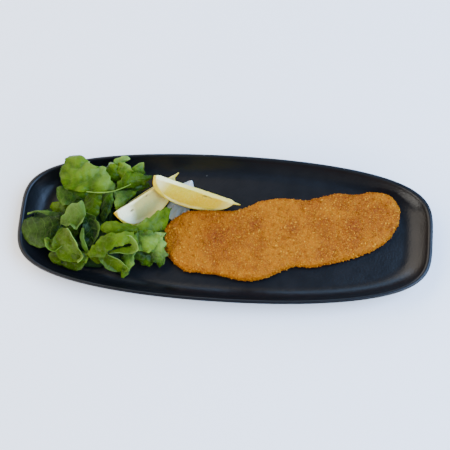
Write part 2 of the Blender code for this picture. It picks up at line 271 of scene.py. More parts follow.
def platter_tree(surface):
    """Grid to platter: one way across the grid follows the section, the other goes round the outline."""
    tree, given = new_tree("platter", ("Half Length", "Half Width", "Height", "End Stretch",
                                       "Power X", "Power Y"), takes_mesh=False)
    steps_round = 384
    steps_across = 120
    seam_gap = 0.001 * MM
    grid = put(tree, "GeometryNodeMeshGrid", {"Size X": 1.0, "Size Y": 1.0, "Vertices X": steps_round + 1,
                                              "Vertices Y": steps_across + 1})
    place = put(tree, "ShaderNodeSeparateXYZ", {0: put(tree, "GeometryNodeInputPosition").outputs[0]})
    turn = calc(tree, "MULTIPLY", calc(tree, "ADD", place.outputs[0], 0.5), 2 * math.pi)
    along = calc(tree, "ADD", place.outputs[1], 0.5)
    section = plate_section()
    longest_step = 6.0 * MM
    reach = [0.0]
    for before, after in zip(section, section[1:]):
        reach.append(reach[-1] + min(longest_step, math.dist(before, after)))
    curves = []
    for index, full in ((0, plate_half_width), (1, plate_height)):
        node = put(tree, "ShaderNodeFloatCurve", {"Value": along})
        curve = node.mapping.curves[0]
        curve.points[0].location = (0.0, section[0][index] / full)
        curve.points[1].location = (1.0, section[-1][index] / full)
        for point, distance in zip(section[1:-1], reach[1:-1]):
            curve.points.new(distance / reach[-1], point[index] / full)
        for point in curve.points:
            point.handle_type = "VECTOR"
        node.mapping.update()
        curves.append(node.outputs[0])
    inset = calc(tree, "MULTIPLY", curves[0], given["Half Width"])
    height = calc(tree, "MULTIPLY", curves[1], given["Height"])
    around = []
    for operation, power in (("COSINE", "Power X"), ("SINE", "Power Y")):
        wave = calc(tree, operation, turn)
        bowed = calc(tree, "POWER", calc(tree, "ABSOLUTE", wave), calc(tree, "DIVIDE", 2.0, given[power]))
        around.append(calc(tree, "MULTIPLY", bowed, calc(tree, "SIGN", wave)))
    length = calc(tree, "SUBTRACT", given["Half Length"],
                  calc(tree, "MULTIPLY", inset, given["End Stretch"]))
    width = calc(tree, "SUBTRACT", given["Half Width"], inset)
    moved = put(tree, "ShaderNodeCombineXYZ", {0: calc(tree, "MULTIPLY", length, around[0]),
                                               1: calc(tree, "MULTIPLY", width, around[1]), 2: height})
    shaped = put(tree, "GeometryNodeSetPosition",
                 {"Geometry": grid.outputs["Mesh"], "Position": moved.outputs[0]})
    closed = put(tree, "GeometryNodeMergeByDistance", {"Geometry": shaped.outputs[0], "Distance": seam_gap})
    return end_tree(tree, closed.outputs[0], surface)


def grow_mesh(name, base_mesh, tree, values):
    """Run a geometry tree on a mesh with its named inputs, and return the plain mesh it makes."""
    holder = bpy.data.objects.new(name + "_holder", base_mesh)
    bpy.context.scene.collection.objects.link(holder)
    modifier = holder.modifiers.new("grow", "NODES")
    modifier.node_group = tree
    for item in tree.interface.items_tree:
        if item.item_type == "SOCKET" and item.in_out == "INPUT" and item.name in values:
            modifier[item.identifier] = values[item.name]
    bpy.context.view_layer.update()
    evaluated = holder.evaluated_get(bpy.context.evaluated_depsgraph_get())
    mesh = bpy.data.meshes.new_from_object(evaluated)
    mesh.name = name
    bpy.data.objects.remove(holder)
    return mesh


def turn_outward(mesh):
    """Make every face of a closed mesh point outwards."""
    turned_faces = bmesh.new()
    turned_faces.from_mesh(mesh)
    bmesh.ops.recalc_face_normals(turned_faces, faces=turned_faces.faces)
    turned_faces.to_mesh(mesh)
    turned_faces.free()


def remap(tree, value, low, high, to_low=0.0, to_high=1.0):
    """Stretch a range of values to another, smoothly."""
    node = put(tree, "ShaderNodeMapRange", {0: value, 1: low, 2: high, 3: to_low, 4: to_high},
               interpolation_type="SMOOTHSTEP")
    return node.outputs[0]


def wire_bump(tree, shader, height, depth_mm, strength=1.0):
    """Feed the shader's normal with relief of a real depth."""
    bump = put(tree, "ShaderNodeBump", {"Height": height, "Strength": strength, "Distance": depth_mm * MM})
    tree.links.new(bump.outputs["Normal"], shader.inputs["Normal"])


def distance_from(tree, spot):
    """How far each point of the surface is from a spot given in millimetres."""
    place = put(tree, "ShaderNodeTexCoord").outputs["Object"]
    return put(tree, "ShaderNodeVectorMath", {0: place, 1: tuple(value * MM for value in spot)},
               operation="DISTANCE").outputs["Value"]


def add_piece(name, mesh, surface, replaced, smooth=True):
    """Give a finished mesh its material, hang it from the root body, and hide the part of the frame that it
    stands for.
    """
    piece = bpy.data.objects.new(name, mesh)
    bpy.context.scene.collection.objects.link(piece)
    mesh.materials.clear()
    mesh.materials.append(surface)
    if smooth:
        mesh.shade_smooth()
    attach(piece, "root")
    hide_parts(replaced)


plate_material, plate_tree, plate_shader = new_material("matte_black_melamine", 0.34,
                                                     Specular_IOR_Level=0.24)
plate_spots = unevenness(plate_tree, 45.0, 1.7)
plate_wear = unevenness(plate_tree, 9.0, 0.5, 4.0)
plate_colour = blend_colours(plate_tree, plate_spots["Blotch"], (0.0030, 0.0032, 0.0038),
                             (0.0040, 0.0043, 0.0053))
smear_colour = (0.0008, 0.0008, 0.0010)
thin_smear_colour = (0.0010, 0.0010, 0.0012)
speck_colour = (0.16, 0.16, 0.15)
plate_marks = (((-42.0, -54.0, 7.0), 5.0, smear_colour, 0.9),
               ((-37.0, -56.0, 8.0), 3.5, smear_colour, 0.8),
               ((-52.0, -42.0, 6.0), 3.0, thin_smear_colour, 0.6),
               ((-19.0, 49.7, 6.0), 0.55, speck_colour, 1.0))
for spot, across_mm, shade, strength in plate_marks:
    mask = calc(plate_tree, "ADD", distance_from(plate_tree, spot),
                calc(plate_tree, "MULTIPLY", plate_spots["Grain"], 0.4 * across_mm * MM))
    mask = remap(plate_tree, mask, across_mm * 0.6 * MM, across_mm * 1.2 * MM, strength, 0.0)
    plate_colour = blend_colours(plate_tree, mask, plate_colour, shade)
plate_tree.links.new(plate_colour, plate_shader.inputs["Base Color"])
plate_gloss = remap(plate_tree, plate_wear["Blotch"], 0.3, 0.7, 0.28, 0.34)
plate_tree.links.new(plate_gloss, plate_shader.inputs["Roughness"])
wire_bump(plate_tree, plate_shader, plate_spots["Cells"], 0.16, 0.6)

plate_mesh = grow_mesh("platter_body", bpy.data.meshes.new("platter_start"), platter_tree(plate_material), {
    "Half Length": plate_half_length, "Half Width": plate_half_width, "Height": plate_height,
    "End Stretch": plate_end_stretch, "Power X": plate_power_x, "Power Y": plate_power_y})
turn_outward(plate_mesh)
add_piece("platter", plate_mesh, plate_material, "plate")

# ---------------------------------------------------------------------------
# Schnitzel.  A beaten-out escalope in a dry breadcrumb crust, fried golden with browner patches.
# Its body is the fixed shape with crumb relief grown over it, and loose crumbs stand on the crust.
# ---------------------------------------------------------------------------


def fixed_shape(node):
    """A merged copy of a node of the frame."""
    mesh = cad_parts[node].data.copy()
    merged = bmesh.new()
    merged.from_mesh(mesh)
    bmesh.ops.remove_doubles(merged, verts=merged.verts, dist=0.01 * MM)
    merged.to_mesh(mesh)
    merged.free()
    return mesh


def remeshed(mesh, voxel_mm):
    """The same shape in even small faces."""
    holder = bpy.data.objects.new("remesh_holder", mesh)
    bpy.context.scene.collection.objects.link(holder)
    remesh = holder.modifiers.new("remesh", "REMESH")
    remesh.mode = "VOXEL"
    remesh.voxel_size = voxel_mm * MM
    remesh.use_smooth_shade = True
    evaluated = holder.evaluated_get(bpy.context.evaluated_depsgraph_get())
    made = bpy.data.meshes.new_from_object(evaluated)
    bpy.data.objects.remove(holder)
    return made


def crust_tree(surface):
    """Relief over the escalope: soft blisters, lumps, and crumb grains that fade out underneath."""
    tree, given = new_tree("crust_relief", ("Floor", "Blister Size", "Blister Height", "Lump Size",
                                            "Lump Height", "Grain Size", "Grain Height"))
    place = put(tree, "GeometryNodeInputPosition").outputs[0]
    out = put(tree, "GeometryNodeInputNormal").outputs[0]
    rise = None
    for name in ("Blister", "Lump", "Grain"):
        scale = calc(tree, "DIVIDE", 1.0, given[name + " Size"])
        if name == "Grain":
            texture = put(tree, "ShaderNodeTexVoronoi", {"Vector": place, "Scale": scale}, feature="F1")
            wave = calc(tree, "SUBTRACT", 0.75, texture.outputs["Distance"])
        else:
            texture = put(tree, "ShaderNodeTexNoise", {"Vector": place, "Scale": scale, "Detail": 2.0})
            wave = calc(tree, "SUBTRACT", texture.outputs[0], 0.5)
        part = calc(tree, "MULTIPLY", wave, given[name + " Height"])
        rise = part if rise is None else calc(tree, "ADD", rise, part)
    height = put(tree, "ShaderNodeSeparateXYZ", {0: place}).outputs[2]
    fade_height = 2.5 * MM
    above = calc(tree, "DIVIDE", calc(tree, "SUBTRACT", height, given["Floor"]), fade_height, clamp=True)
    offset = put(tree, "ShaderNodeVectorMath", {0: out, "Scale": calc(tree, "MULTIPLY", rise, above)},
                 operation="SCALE")
    moved = put(tree, "GeometryNodeSetPosition", {"Geometry": given["Geometry"], "Offset": offset.outputs[0]})
    return end_tree(tree, moved.outputs[0], surface)


def crumb_tree(surface):
    """Crumbs stood at random over the upper faces, each its own size, turn and tone."""
    tree, given = new_tree("loose_crumbs", ("Floor", "Per Square Metre", "Smallest", "Largest"), ("Seed",))
    height = put(tree, "ShaderNodeSeparateXYZ", {0: put(tree, "GeometryNodeInputPosition").outputs[0]})
    upper = put(tree, "FunctionNodeCompare", {0: height.outputs[2], 1: given["Floor"]},
                data_type="FLOAT", operation="GREATER_THAN")
    scattered = put(tree, "GeometryNodeDistributePointsOnFaces",
                    {"Mesh": given["Geometry"], "Selection": upper.outputs[0],
                     "Density": given["Per Square Metre"], "Seed": given["Seed"]})
    chip = put(tree, "GeometryNodeMeshIcoSphere", {"Radius": 1.0, "Subdivisions": 1})
    dent = 0.28
    uneven = put(tree, "FunctionNodeRandomValue", data_type="FLOAT_VECTOR")
    uneven.inputs[0].default_value = (-dent, -dent, -dent)
    uneven.inputs[1].default_value = (dent, dent, dent)
    rough_chip = put(tree, "GeometryNodeSetPosition",
                     {"Geometry": chip.outputs["Mesh"], "Offset": uneven.outputs[0]})
    size = put(tree, "FunctionNodeRandomValue", {2: given["Smallest"], 3: given["Largest"], "Seed": 3},
               data_type="FLOAT")
    stretch = put(tree, "FunctionNodeRandomValue", {"Seed": 5}, data_type="FLOAT_VECTOR")
    stretch.inputs[0].default_value = (0.75, 0.65, 0.45)
    stretch.inputs[1].default_value = (1.35, 1.1, 0.8)
    scale = put(tree, "ShaderNodeVectorMath", {0: stretch.outputs[0], "Scale": size.outputs[1]},
                operation="SCALE")
    full_turn = 6.28
    turn = put(tree, "FunctionNodeRandomValue", {"Seed": 7}, data_type="FLOAT_VECTOR")
    turn.inputs[1].default_value = (full_turn, full_turn, full_turn)
    placed = put(tree, "GeometryNodeInstanceOnPoints",
                 {"Points": scattered.outputs["Points"], "Instance": rough_chip.outputs[0],
                  "Rotation": turn.outputs[0], "Scale": scale.outputs[0]})
    tone = put(tree, "FunctionNodeRandomValue", {"Seed": 11}, data_type="FLOAT")
    marked = put(tree, "GeometryNodeStoreNamedAttribute",
                 {"Geometry": placed.outputs[0], "Name": "tone", "Value": tone.outputs[1]},
                 data_type="FLOAT", domain="INSTANCE")
    return end_tree(tree, marked.outputs[0], surface)


meat_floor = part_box("schnitzel")[0][2]
crust_golden = (0.27, 0.080, 0.0012)
crust_brown = (0.150, 0.031, 0.0030)
crust_pale = (0.51, 0.212, 0.0065)
crumb_pale = (0.58, 0.26, 0.016)
pan_patches = (((-4.0, -9.0, 14.0), 27.0), ((109.0, 7.0, 14.0), 22.0), ((26.0, 5.0, 14.0), 17.0),
               ((58.0, 3.0, 14.0), 15.0), ((128.0, 24.0, 14.0), 15.0))


def browned_crust(tree):
    """Crust colour: golden, browned in patches where it touched the pan."""
    spots = unevenness(tree, 26.0, 1.5)
    flecks = unevenness(tree, 6.0, 0.8, 2.0)
    patch = remap(tree, spots["Blotch"], 0.46, 0.60, 0.0, 0.6)
    for centre, across_mm in pan_patches:
        away = calc(tree, "ADD", distance_from(tree, centre),
                    calc(tree, "MULTIPLY", spots["Grain"], 6.0 * MM))
        browned = remap(tree, away, 0.2 * across_mm * MM, across_mm * MM, 0.95, 0.0)
        patch = calc(tree, "MAXIMUM", patch, browned)
    colour = blend_colours(tree, patch, crust_golden, crust_brown)
    darker = remap(tree, flecks["Blotch"], 0.52, 0.70, 0.0, 0.45)
    colour = blend_colours(tree, darker, colour, crust_brown)
    lighter = remap(tree, flecks["Grain"], 0.53, 0.66, 0.0, 0.6)
    return blend_colours(tree, lighter, colour, crust_pale), flecks


crust_material, crust_nodes, crust_shader = new_material("fried_crumb_crust", 0.6, Specular_IOR_Level=0.08)
crust_colour, crust_flecks = browned_crust(crust_nodes)
crust_nodes.links.new(crust_colour, crust_shader.inputs["Base Color"])
wire_bump(crust_nodes, crust_shader, crust_flecks["Grain"], 0.35, 0.8)

crumb_material, crumb_nodes, crumb_shader = new_material("fried_crumbs", 0.5, Specular_IOR_Level=0.08)
crumb_colour, crumb_flecks = browned_crust(crumb_nodes)
crumb_tone = put(crumb_nodes, "ShaderNodeAttribute", attribute_name="tone").outputs["Fac"]
pale_crumb = remap(crumb_nodes, crumb_tone, 0.66, 0.95, 0.0, 0.6)
crumb_colour = blend_colours(crumb_nodes, pale_crumb, crumb_colour, crumb_pale)
dark_crumb = remap(crumb_nodes, crumb_tone, 0.30, 0.05, 0.0, 0.45)
crumb_colour = blend_colours(crumb_nodes, dark_crumb, crumb_colour, crust_brown)
crumb_nodes.links.new(crumb_colour, crumb_shader.inputs["Base Color"])
wire_bump(crumb_nodes, crumb_shader, crumb_flecks["Grain"], 0.2, 0.6)

meat_mesh = grow_mesh("crust_body", remeshed(fixed_shape("schnitzel"), 0.68), crust_tree(crust_material), {
    "Floor": meat_floor, "Blister Size": 24 * MM, "Blister Height": 1.6 * MM, "Lump Size": 6.5 * MM,
    "Lump Height": 1.1 * MM, "Grain Size": 1.9 * MM, "Grain Height": 1.1 * MM})
crumb_mesh = grow_mesh("crumb_chips", meat_mesh.copy(), crumb_tree(crumb_material), {
    "Floor": meat_floor + 0.9 * MM, "Per Square Metre": 250000.0, "Smallest": 0.30 * MM,
    "Largest": 1.05 * MM, "Seed": 4})
add_piece("crust", meat_mesh, crust_material, "schnitzel")
add_piece("crumbs", crumb_mesh, crumb_material, "schnitzel", smooth=False)

# ---------------------------------------------------------------------------
# Lemon wedges.  An eighth and a sixth of a lemon: wet flesh with juice sacs, a white pith, and a thin
# yellow rind.  Each is one closed mesh, fine enough for the flesh to lie sunk between the pith.
# ---------------------------------------------------------------------------

lemon_radius = 26.2 * MM
lemon_body_end = 0.93
nipple_start = 0.82
nipple_radius = 4.0 * MM


def lemon_profile(share):
    """Radius of the lemon at a share of its length."""
    body = lemon_radius * (1 - abs(2 * min(share, lemon_body_end) / lemon_body_end - 1) ** 2.3) ** 0.5
    if share < nipple_start:
        return body
    return max(body, nipple_radius * math.sqrt(max(0.0, (1 - share) / (1 - nipple_start))))


def furthest(node, direction):
    """The point of a node that lies furthest in a direction."""
    return max((vertex.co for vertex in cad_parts[node].data.vertices),
               key=lambda co: co.dot(direction)).copy()


def smooth_step(value, low, high):
    """A smooth rise from 0 at the low value to 1 at the high one."""
    share = min(1.0, max(0.0, (value - low) / (high - low)))
    return share * share * (3 - 2 * share)


def closed_tube(name, places, stations):
    """A closed mesh from rings of points, one ring at each station, with a face over either end."""
    count = len(places) // stations
    faces = []
    for i in range(stations - 1):
        for k in range(count):
            following = (k + 1) % count
            faces.append((i * count + k, i * count + following, (i + 1) * count + following,
                          (i + 1) * count + k))
    faces.append(tuple(reversed(range(count))))
    faces.append(tuple((stations - 1) * count + k for k in range(count)))
    mesh = bpy.data.meshes.new(name)
    mesh.from_pydata(places, [], faces)
    return mesh


def lemon_wedge(name, node, tip_direction, near_lean, far_lean, core_width, flesh_range, pith_mm,
                core_mm, core_flesh, rind_mm, dents):
    """Loft a wedge from its stem to its nipple, and mark on every vertex what tissue it is.

    The two cut faces lean out from the core by angles in degrees.  The flesh starts and ends between
    shares of the length; pith, core and rind are in millimetres, rind at the stem and further on.
    A dent is a share of the length, a distance from the core and a size."""
    stem = furthest(node, Vector((0, 0, 1)))
    tip = furthest(node, tip_direction)
    along = (tip - stem).normalized()
    near_side = along.cross(Vector((0, 0, 1))).normalized()
    if near_side.y > 0:
        near_side.negate()
    upward = near_side.cross(along).normalized()
    if upward.z < 0:
        upward.negate()
    length = (tip - stem).length
    stations = 160
    face_steps = 36
    arc_steps = 40
    core_steps = 5
    blunt_end = 1.0 * MM
    pith_fade = 3.0
    edge_radius = 1.6 * MM
    pore_height = 0.2
    rind_swell = 0.4
    places = []
    marks = {"flesh": [], "rind": [], "dent": []}
    uvs = []
    for i in range(stations):
        share = 0.5 - 0.5 * math.cos(math.pi * (i + 0.1) / (stations - 0.8))
        core = stem + along * (length * share)
        radius = max(lemon_profile(share), blunt_end)
        half_core = core_width / 2 * min(1.0, radius / lemon_radius * 2)
        near_core = core + near_side * half_core
        far_core = core - near_side * half_core
        rind_here = (rind_mm[0] + (rind_mm[1] - rind_mm[0]) * smooth_step(share, 0.0, 0.35)) * MM
        stem_skin = 1 - smooth_step(share * length, 0.8 * MM, 1.8 * MM)
        ring = []
        for side, lean, start in ((1, near_lean, near_core), (-1, far_lean, far_core)):
            turn = math.radians(lean) * side
            outward = near_side * math.sin(turn) - upward * math.cos(turn)
            end = core + outward * radius
            face_normal = near_side * (math.cos(turn) * side) + upward * abs(math.sin(turn))
            face = []
            for k in range(face_steps):
                reach = k / face_steps
                place = start.lerp(end, reach)
                depth = (end - place).length
                inner = reach * radius
                wobble = noise.noise(place * 160) * MM
                flesh = smooth_step(depth + wobble, (pith_mm - 0.6) * MM, (pith_mm + pith_fade) * MM)
                flesh *= smooth_step(inner + wobble, core_mm[0] * MM, core_mm[1] * MM)
                flesh *= smooth_step(share + wobble * 10, flesh_range[0], flesh_range[1])
                flesh *= smooth_step(1 - share + wobble * 10, 1 - flesh_range[3], 1 - flesh_range[2])
                rind = 1 - smooth_step(depth + wobble * 0.4, rind_here * 0.7, rind_here * 1.15)
                rind = max(rind, stem_skin)
                dent = 0.0
                if side == 1:
                    for dent_share, dent_inner, dent_size in dents:
                        away = math.hypot((share - dent_share) * length, (inner - dent_inner * MM) * 1.7)
                        dent = max(dent, 1 - smooth_step(away, dent_size * 0.4 * MM, dent_size * MM))
                sacs = noise.noise(Vector((share * length * 620, inner * 130, side * 3.0)))
                swell = noise.noise(place * 60)
                sink = flesh * (0.45 + 0.30 * sacs - 0.4 * swell) + dent * 0.9
                edge_round = 0.7 * (1 - smooth_step(depth, 0.0, edge_radius)) ** 2
                face.append((place - face_normal * ((sink + edge_round) * MM), flesh, rind, dent,
                             (share, reach)))
            ring.append(face)
        arc = []
        for k in range(arc_steps + 1):
            lean = near_lean - (near_lean + far_lean) * k / arc_steps
            turn = math.radians(lean)
            outward = near_side * math.sin(turn) - upward * math.cos(turn)
            pores = pore_height * noise.noise((core + outward * radius) * 650)
            bulge = rind_swell * noise.noise((core + outward * radius) * 70)
            arc.append((core + outward * (radius + (pores + bulge) * MM), 0.0, 1.0, 0.0, (share, lean * 0.1)))
        top = []
        core_ripe = core_flesh * smooth_step(share, 0.22, 0.55)
        for k in range(1, core_steps):
            place = far_core.lerp(near_core, k / core_steps)
            top.append((place + upward * (0.3 * MM * math.sin(math.pi * k / core_steps)), core_ripe,
                        stem_skin, 0.0, (share, 0.0)))
        for place, flesh, rind, dent, uv in ring[0] + arc + list(reversed(ring[1])) + top:
            places.append(place)
            marks["flesh"].append(flesh)
            marks["rind"].append(rind)
            marks["dent"].append(dent)
            uvs.append(uv)
    mesh = closed_tube(name, places, stations)
    for label, values in marks.items():
        mesh.attributes.new(label, "FLOAT", "POINT").data.foreach_set("value", values)
    layer = mesh.uv_layers.new(name="cut_face")
    for loop in mesh.loops:
        layer.data[loop.index].uv = uvs[loop.vertex_index]
    turn_outward(mesh)
    return mesh


def lemon_material(name, flesh_stem, flesh_tip, pith_stem, pith_tip, rind_colour):
    """Flesh with pale walls between the juice sacs, chalky pith, and a wax-coated rind with pores."""
    made, tree, shader = new_material(name, 0.30, Subsurface_Weight=0.12, Subsurface_Scale=3.0 * MM,
                                      Specular_IOR_Level=0.16)
    flesh, rind, dent = (put(tree, "ShaderNodeAttribute", attribute_name=label).outputs["Fac"]
                         for label in ("flesh", "rind", "dent"))
    face = put(tree, "ShaderNodeUVMap", uv_map="cut_face").outputs[0]
    face_xy = put(tree, "ShaderNodeSeparateXYZ", {0: face}).outputs
    sac_place = put(tree, "ShaderNodeMapping", {"Vector": face, "Scale": (44.0, 5.0, 1.0)})
    sacs = put(tree, "ShaderNodeTexVoronoi", {"Vector": sac_place.outputs[0], "Scale": 1.0},
               feature="DISTANCE_TO_EDGE")
    walls = remap(tree, sacs.outputs["Distance"], 0.0, 0.2, 1.0, 0.0)
    spots = unevenness(tree, 9.0, 0.7, 1.0)
    # Flesh colour runs from stem to tip, and a little across the face as well.
    flesh_stem_to_tip = calc(tree, "ADD", calc(tree, "MULTIPLY", face_xy[0], 1.1),
                calc(tree, "MULTIPLY", face_xy[1], 0.45))
    flesh_stem_to_tip = calc(tree, "ADD", flesh_stem_to_tip, calc(tree, "MULTIPLY", spots["Blotch"], 0.5))
    pulp = blend_colours(tree, remap(tree, flesh_stem_to_tip, 0.55, 1.15), flesh_stem, flesh_tip)
    pulp = blend_colours(tree, calc(tree, "MULTIPLY", walls, 0.14), pulp, pith_tip)
    white = blend_colours(tree, remap(tree, face_xy[0], 0.08, 0.50), pith_stem, pith_tip)
    white = blend_colours(tree, remap(tree, spots["Grain"], 0.4, 0.7, 0.0, 0.3), white, flesh_stem)
    cut = blend_colours(tree, flesh, white, pulp)
    skin = blend_colours(tree, remap(tree, spots["Blotch"], 0.4, 0.65), rind_colour,
                         (0.52, 0.40, 0.03))
    skinned = blend_colours(tree, rind, cut, skin)
    bruised = blend_colours(tree, calc(tree, "MULTIPLY", dent, 0.85), skinned, (0.14, 0.10, 0.03))
    tree.links.new(bruised, shader.inputs["Base Color"])
    tree.links.new(remap(tree, flesh, 0.0, 1.0, 0.5, 0.25), shader.inputs["Roughness"])
    relief = calc(tree, "ADD", calc(tree, "MULTIPLY", calc(tree, "MULTIPLY", walls, flesh), 0.8),
                  calc(tree, "MULTIPLY", spots["Cells"], 0.35))
    wire_bump(tree, shader, relief, 0.25, 0.5)
    return made


right_lemon = lemon_material(
    "right_lemon", flesh_stem=(0.58, 0.46, 0.020), flesh_tip=(0.58, 0.38, 0.002),
    pith_stem=(0.88, 0.84, 0.42), pith_tip=(0.70, 0.58, 0.16), rind_colour=(0.70, 0.50, 0.020))
# The left wedge's flesh is painted lighter towards its tip, as painted light against the shade that the right
# wedge casts on that end.
left_lemon = lemon_material(
    "left_lemon", flesh_stem=(0.42, 0.36, 0.11), flesh_tip=(0.50, 0.40, 0.11),
    pith_stem=(0.94, 0.92, 0.56), pith_tip=(0.62, 0.50, 0.12), rind_colour=(0.62, 0.38, 0.008))
right_wedge_mesh = lemon_wedge(
    "right_wedge", "lemon_wedge_right", tip_direction=Vector((1, 0, 0)), near_lean=19.0, far_lean=24.0,
    core_width=4.0 * MM, flesh_range=(0.05, 0.24, 0.76, 0.92), pith_mm=2.0, core_mm=(-3.0, 1.6),
    core_flesh=0.5, rind_mm=(8.0, 0.9), dents=[(0.60, 2.6, 2.9), (0.66, 2.4, 2.0)])
left_wedge_mesh = lemon_wedge(
    "left_wedge", "lemon_wedge_left", tip_direction=Vector((0, 1, 0)), near_lean=28.0, far_lean=27.0,
    core_width=1.4 * MM, flesh_range=(0.16, 0.30, 0.80, 0.92), pith_mm=2.8, core_mm=(0.3, 1.8),
    core_flesh=0.0, rind_mm=(4.2, 0.5), dents=[(0.22, 7.0, 2.6), (0.47, 2.5, 1.6)])
add_piece("right_wedge", right_wedge_mesh, right_lemon, "lemon_wedge_right")
add_piece("left_wedge", left_wedge_mesh, left_lemon, "lemon_wedge_left")

# ---------------------------------------------------------------------------
# Pale rib.  A strip of the thick white rib of a lettuce leaf, moist and half clear, with the grain
# of its fibres along it.  The fixed shape is grown finer, furrowed lengthwise, and drawn out and
# widened where it runs in under the meat.
# ---------------------------------------------------------------------------

rib_furrow_pitch = 2.2 * MM
rib_furrow_depth = 0.16 * MM
rib_drawn_out = 5.0 * MM
rib_widening = 1.4
rib_material, rib_tree, rib_shader = new_material("pale_leaf_rib", 0.32, Subsurface_Weight=0.2,
                                                  Subsurface_Scale=3.0 * MM)
rib_spots = unevenness(rib_tree, 7.0, 0.6, 3.0)
rib_colour = blend_colours(rib_tree, rib_spots["Blotch"], (0.38, 0.40, 0.36), (0.52, 0.53, 0.48))
rib_place = put(rib_tree, "ShaderNodeSeparateXYZ", {0: put(rib_tree, "ShaderNodeTexCoord").outputs["Object"]})
# Painted shade: the rib is darkened towards its lower end, where it lies in shade under the wedge.
rib_painted_shade = remap(rib_tree, rib_place.outputs[1], 14.0 * MM, 31.0 * MM, 0.9, 0.0)
rib_colour = blend_colours(rib_tree, rib_painted_shade, rib_colour, (0.13, 0.125, 0.075))
rib_tree.links.new(rib_colour, rib_shader.inputs["Base Color"])
wire_bump(rib_tree, rib_shader, rib_spots["Grain"], 0.15, 0.5)
rib_mesh = remeshed(fixed_shape("pale_rib"), 0.35)
rib_low, rib_high = (Vector(corner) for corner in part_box("pale_rib"))
rib_middle = (rib_low + rib_high) / 2
rib_along = Vector((16.0, 31.0, 0.0)).normalized()
rib_across = Vector((rib_along.y, -rib_along.x, 0.0))
for vertex in rib_mesh.vertices:
    furrow = math.cos(vertex.co.dot(rib_across) / rib_furrow_pitch * 2 * math.pi)
    if vertex.co.z > rib_low.z + 0.3 * MM:
        vertex.co.z += rib_furrow_depth * furrow + 0.3 * MM * noise.noise(vertex.co * 130)
    towards_meat = 1 - (vertex.co.y - rib_low.y) / (rib_high.y - rib_low.y)
    vertex.co -= rib_along * (rib_drawn_out * towards_meat)
    right_side = max(0.0, (vertex.co - rib_middle).dot(rib_across))
    vertex.co += rib_across * (right_side * rib_widening * towards_meat)
add_piece("leaf_rib", rib_mesh, rib_material, "pale_rib")

# ---------------------------------------------------------------------------
# Salad.  Torn leaves of green lettuce in a loose heap: thin blades with a pale midrib, puckered
# between the veins, with margins that curl up.  Their colour holds painted shade in the pucker
# valleys, at the bases and across some leaves, a painted highlight along lit margins and a painted
# sheen in patches.  A smaller core lies under them, painted near-black as the shade deep in the heap.
# ---------------------------------------------------------------------------

leaf_dark = (0.003, 0.010, 0.001)
leaf_mid = (0.0125, 0.036, 0.0009)
leaf_light = (0.072, 0.128, 0.0025)
leaf_yellow = (0.056, 0.080, 0.001)
leaf_vein = (0.12, 0.22, 0.03)
# Pale green for the paler underside of the leaves, and on their upper sides for a pale tint that is mostly a
# painted sheen where they catch light.
leaf_paleness_and_sheen = (0.26, 0.39, 0.085)
# Painted highlight: pale green along the lips of curled margins, where they catch the light.
leaf_rim_highlight = (0.17, 0.28, 0.06)
leaf_material, leaf_tree, leaf_shader = new_material("lettuce_leaf", 0.24, Subsurface_Weight=0.2,
                                                     Subsurface_Scale=2.0 * MM, Specular_IOR_Level=0.05)
leaf_shader.inputs["Subsurface Radius"].default_value = (0.5, 1.0, 0.15)
leaf_place = put(leaf_tree, "ShaderNodeUVMap", uv_map="leaf").outputs[0]
leaf_uv = put(leaf_tree, "ShaderNodeSeparateXYZ", {0: leaf_place}).outputs
leaf_marks = {label: put(leaf_tree, "ShaderNodeAttribute", attribute_name=label).outputs["Fac"]
              for label in ("tone", "pale_and_painted_sheen", "margin", "yellow", "rib", "swell")}
leaf_spots = unevenness(leaf_tree, 11.0, 1.2, 5.0)
across = calc(leaf_tree, "ABSOLUTE", leaf_uv[1])
midrib = calc(leaf_tree, "MULTIPLY", remap(leaf_tree, across, 0.0, 0.09, 1.0, 0.0), leaf_marks["rib"])
side_phase = calc(leaf_tree, "SUBTRACT", calc(leaf_tree, "MULTIPLY", leaf_uv[0], 1.3),
                  calc(leaf_tree, "MULTIPLY", across, 0.9))
side_phase = calc(leaf_tree, "ADD", side_phase, calc(leaf_tree, "MULTIPLY", leaf_spots["Blotch"], 1.4))
side_vein = calc(leaf_tree, "ABSOLUTE", calc(leaf_tree, "SUBTRACT",
                                             calc(leaf_tree, "FRACT", side_phase), 0.5))
side_vein = remap(leaf_tree, side_vein, 0.0, 0.10, 0.6, 0.0)
vein_place = put(leaf_tree, "ShaderNodeTexCoord").outputs["Object"]
small_veins = put(leaf_tree, "ShaderNodeTexVoronoi", {"Vector": vein_place, "Scale": 300.0},
                  feature="DISTANCE_TO_EDGE")
small_vein = remap(leaf_tree, small_veins.outputs["Distance"], 0.0, 0.10, 0.25, 0.0)
vein = calc(leaf_tree, "MAXIMUM", calc(leaf_tree, "MAXIMUM", midrib, side_vein), small_vein)
# The tone carries painted shade: bases darker, and one side of some leaves darker than the other, on top of
# the leaf's own blotches.
leaf_tone_and_painted_shade = calc(leaf_tree, "ADD", leaf_marks["tone"],
                  calc(leaf_tree, "SUBTRACT", leaf_spots["Blotch"], 0.5))
# Painted light and shade from the puckers: crests lighter, valleys darker.
leaf_tone_and_painted_shade = calc(leaf_tree, "ADD", leaf_tone_and_painted_shade, calc(leaf_tree, "MULTIPLY", leaf_marks["swell"], 0.22))
blade = blend_colours(leaf_tree, remap(leaf_tree, leaf_tone_and_painted_shade, 0.0, 0.5), leaf_dark, leaf_mid)
blade = blend_colours(leaf_tree, remap(leaf_tree, leaf_tone_and_painted_shade, 0.4, 1.0), blade, leaf_light)
blade = blend_colours(leaf_tree, calc(leaf_tree, "MULTIPLY", leaf_marks["yellow"], 0.55), blade, leaf_yellow)
blade = blend_colours(leaf_tree, calc(leaf_tree, "MULTIPLY", vein, 0.22), blade, leaf_vein)
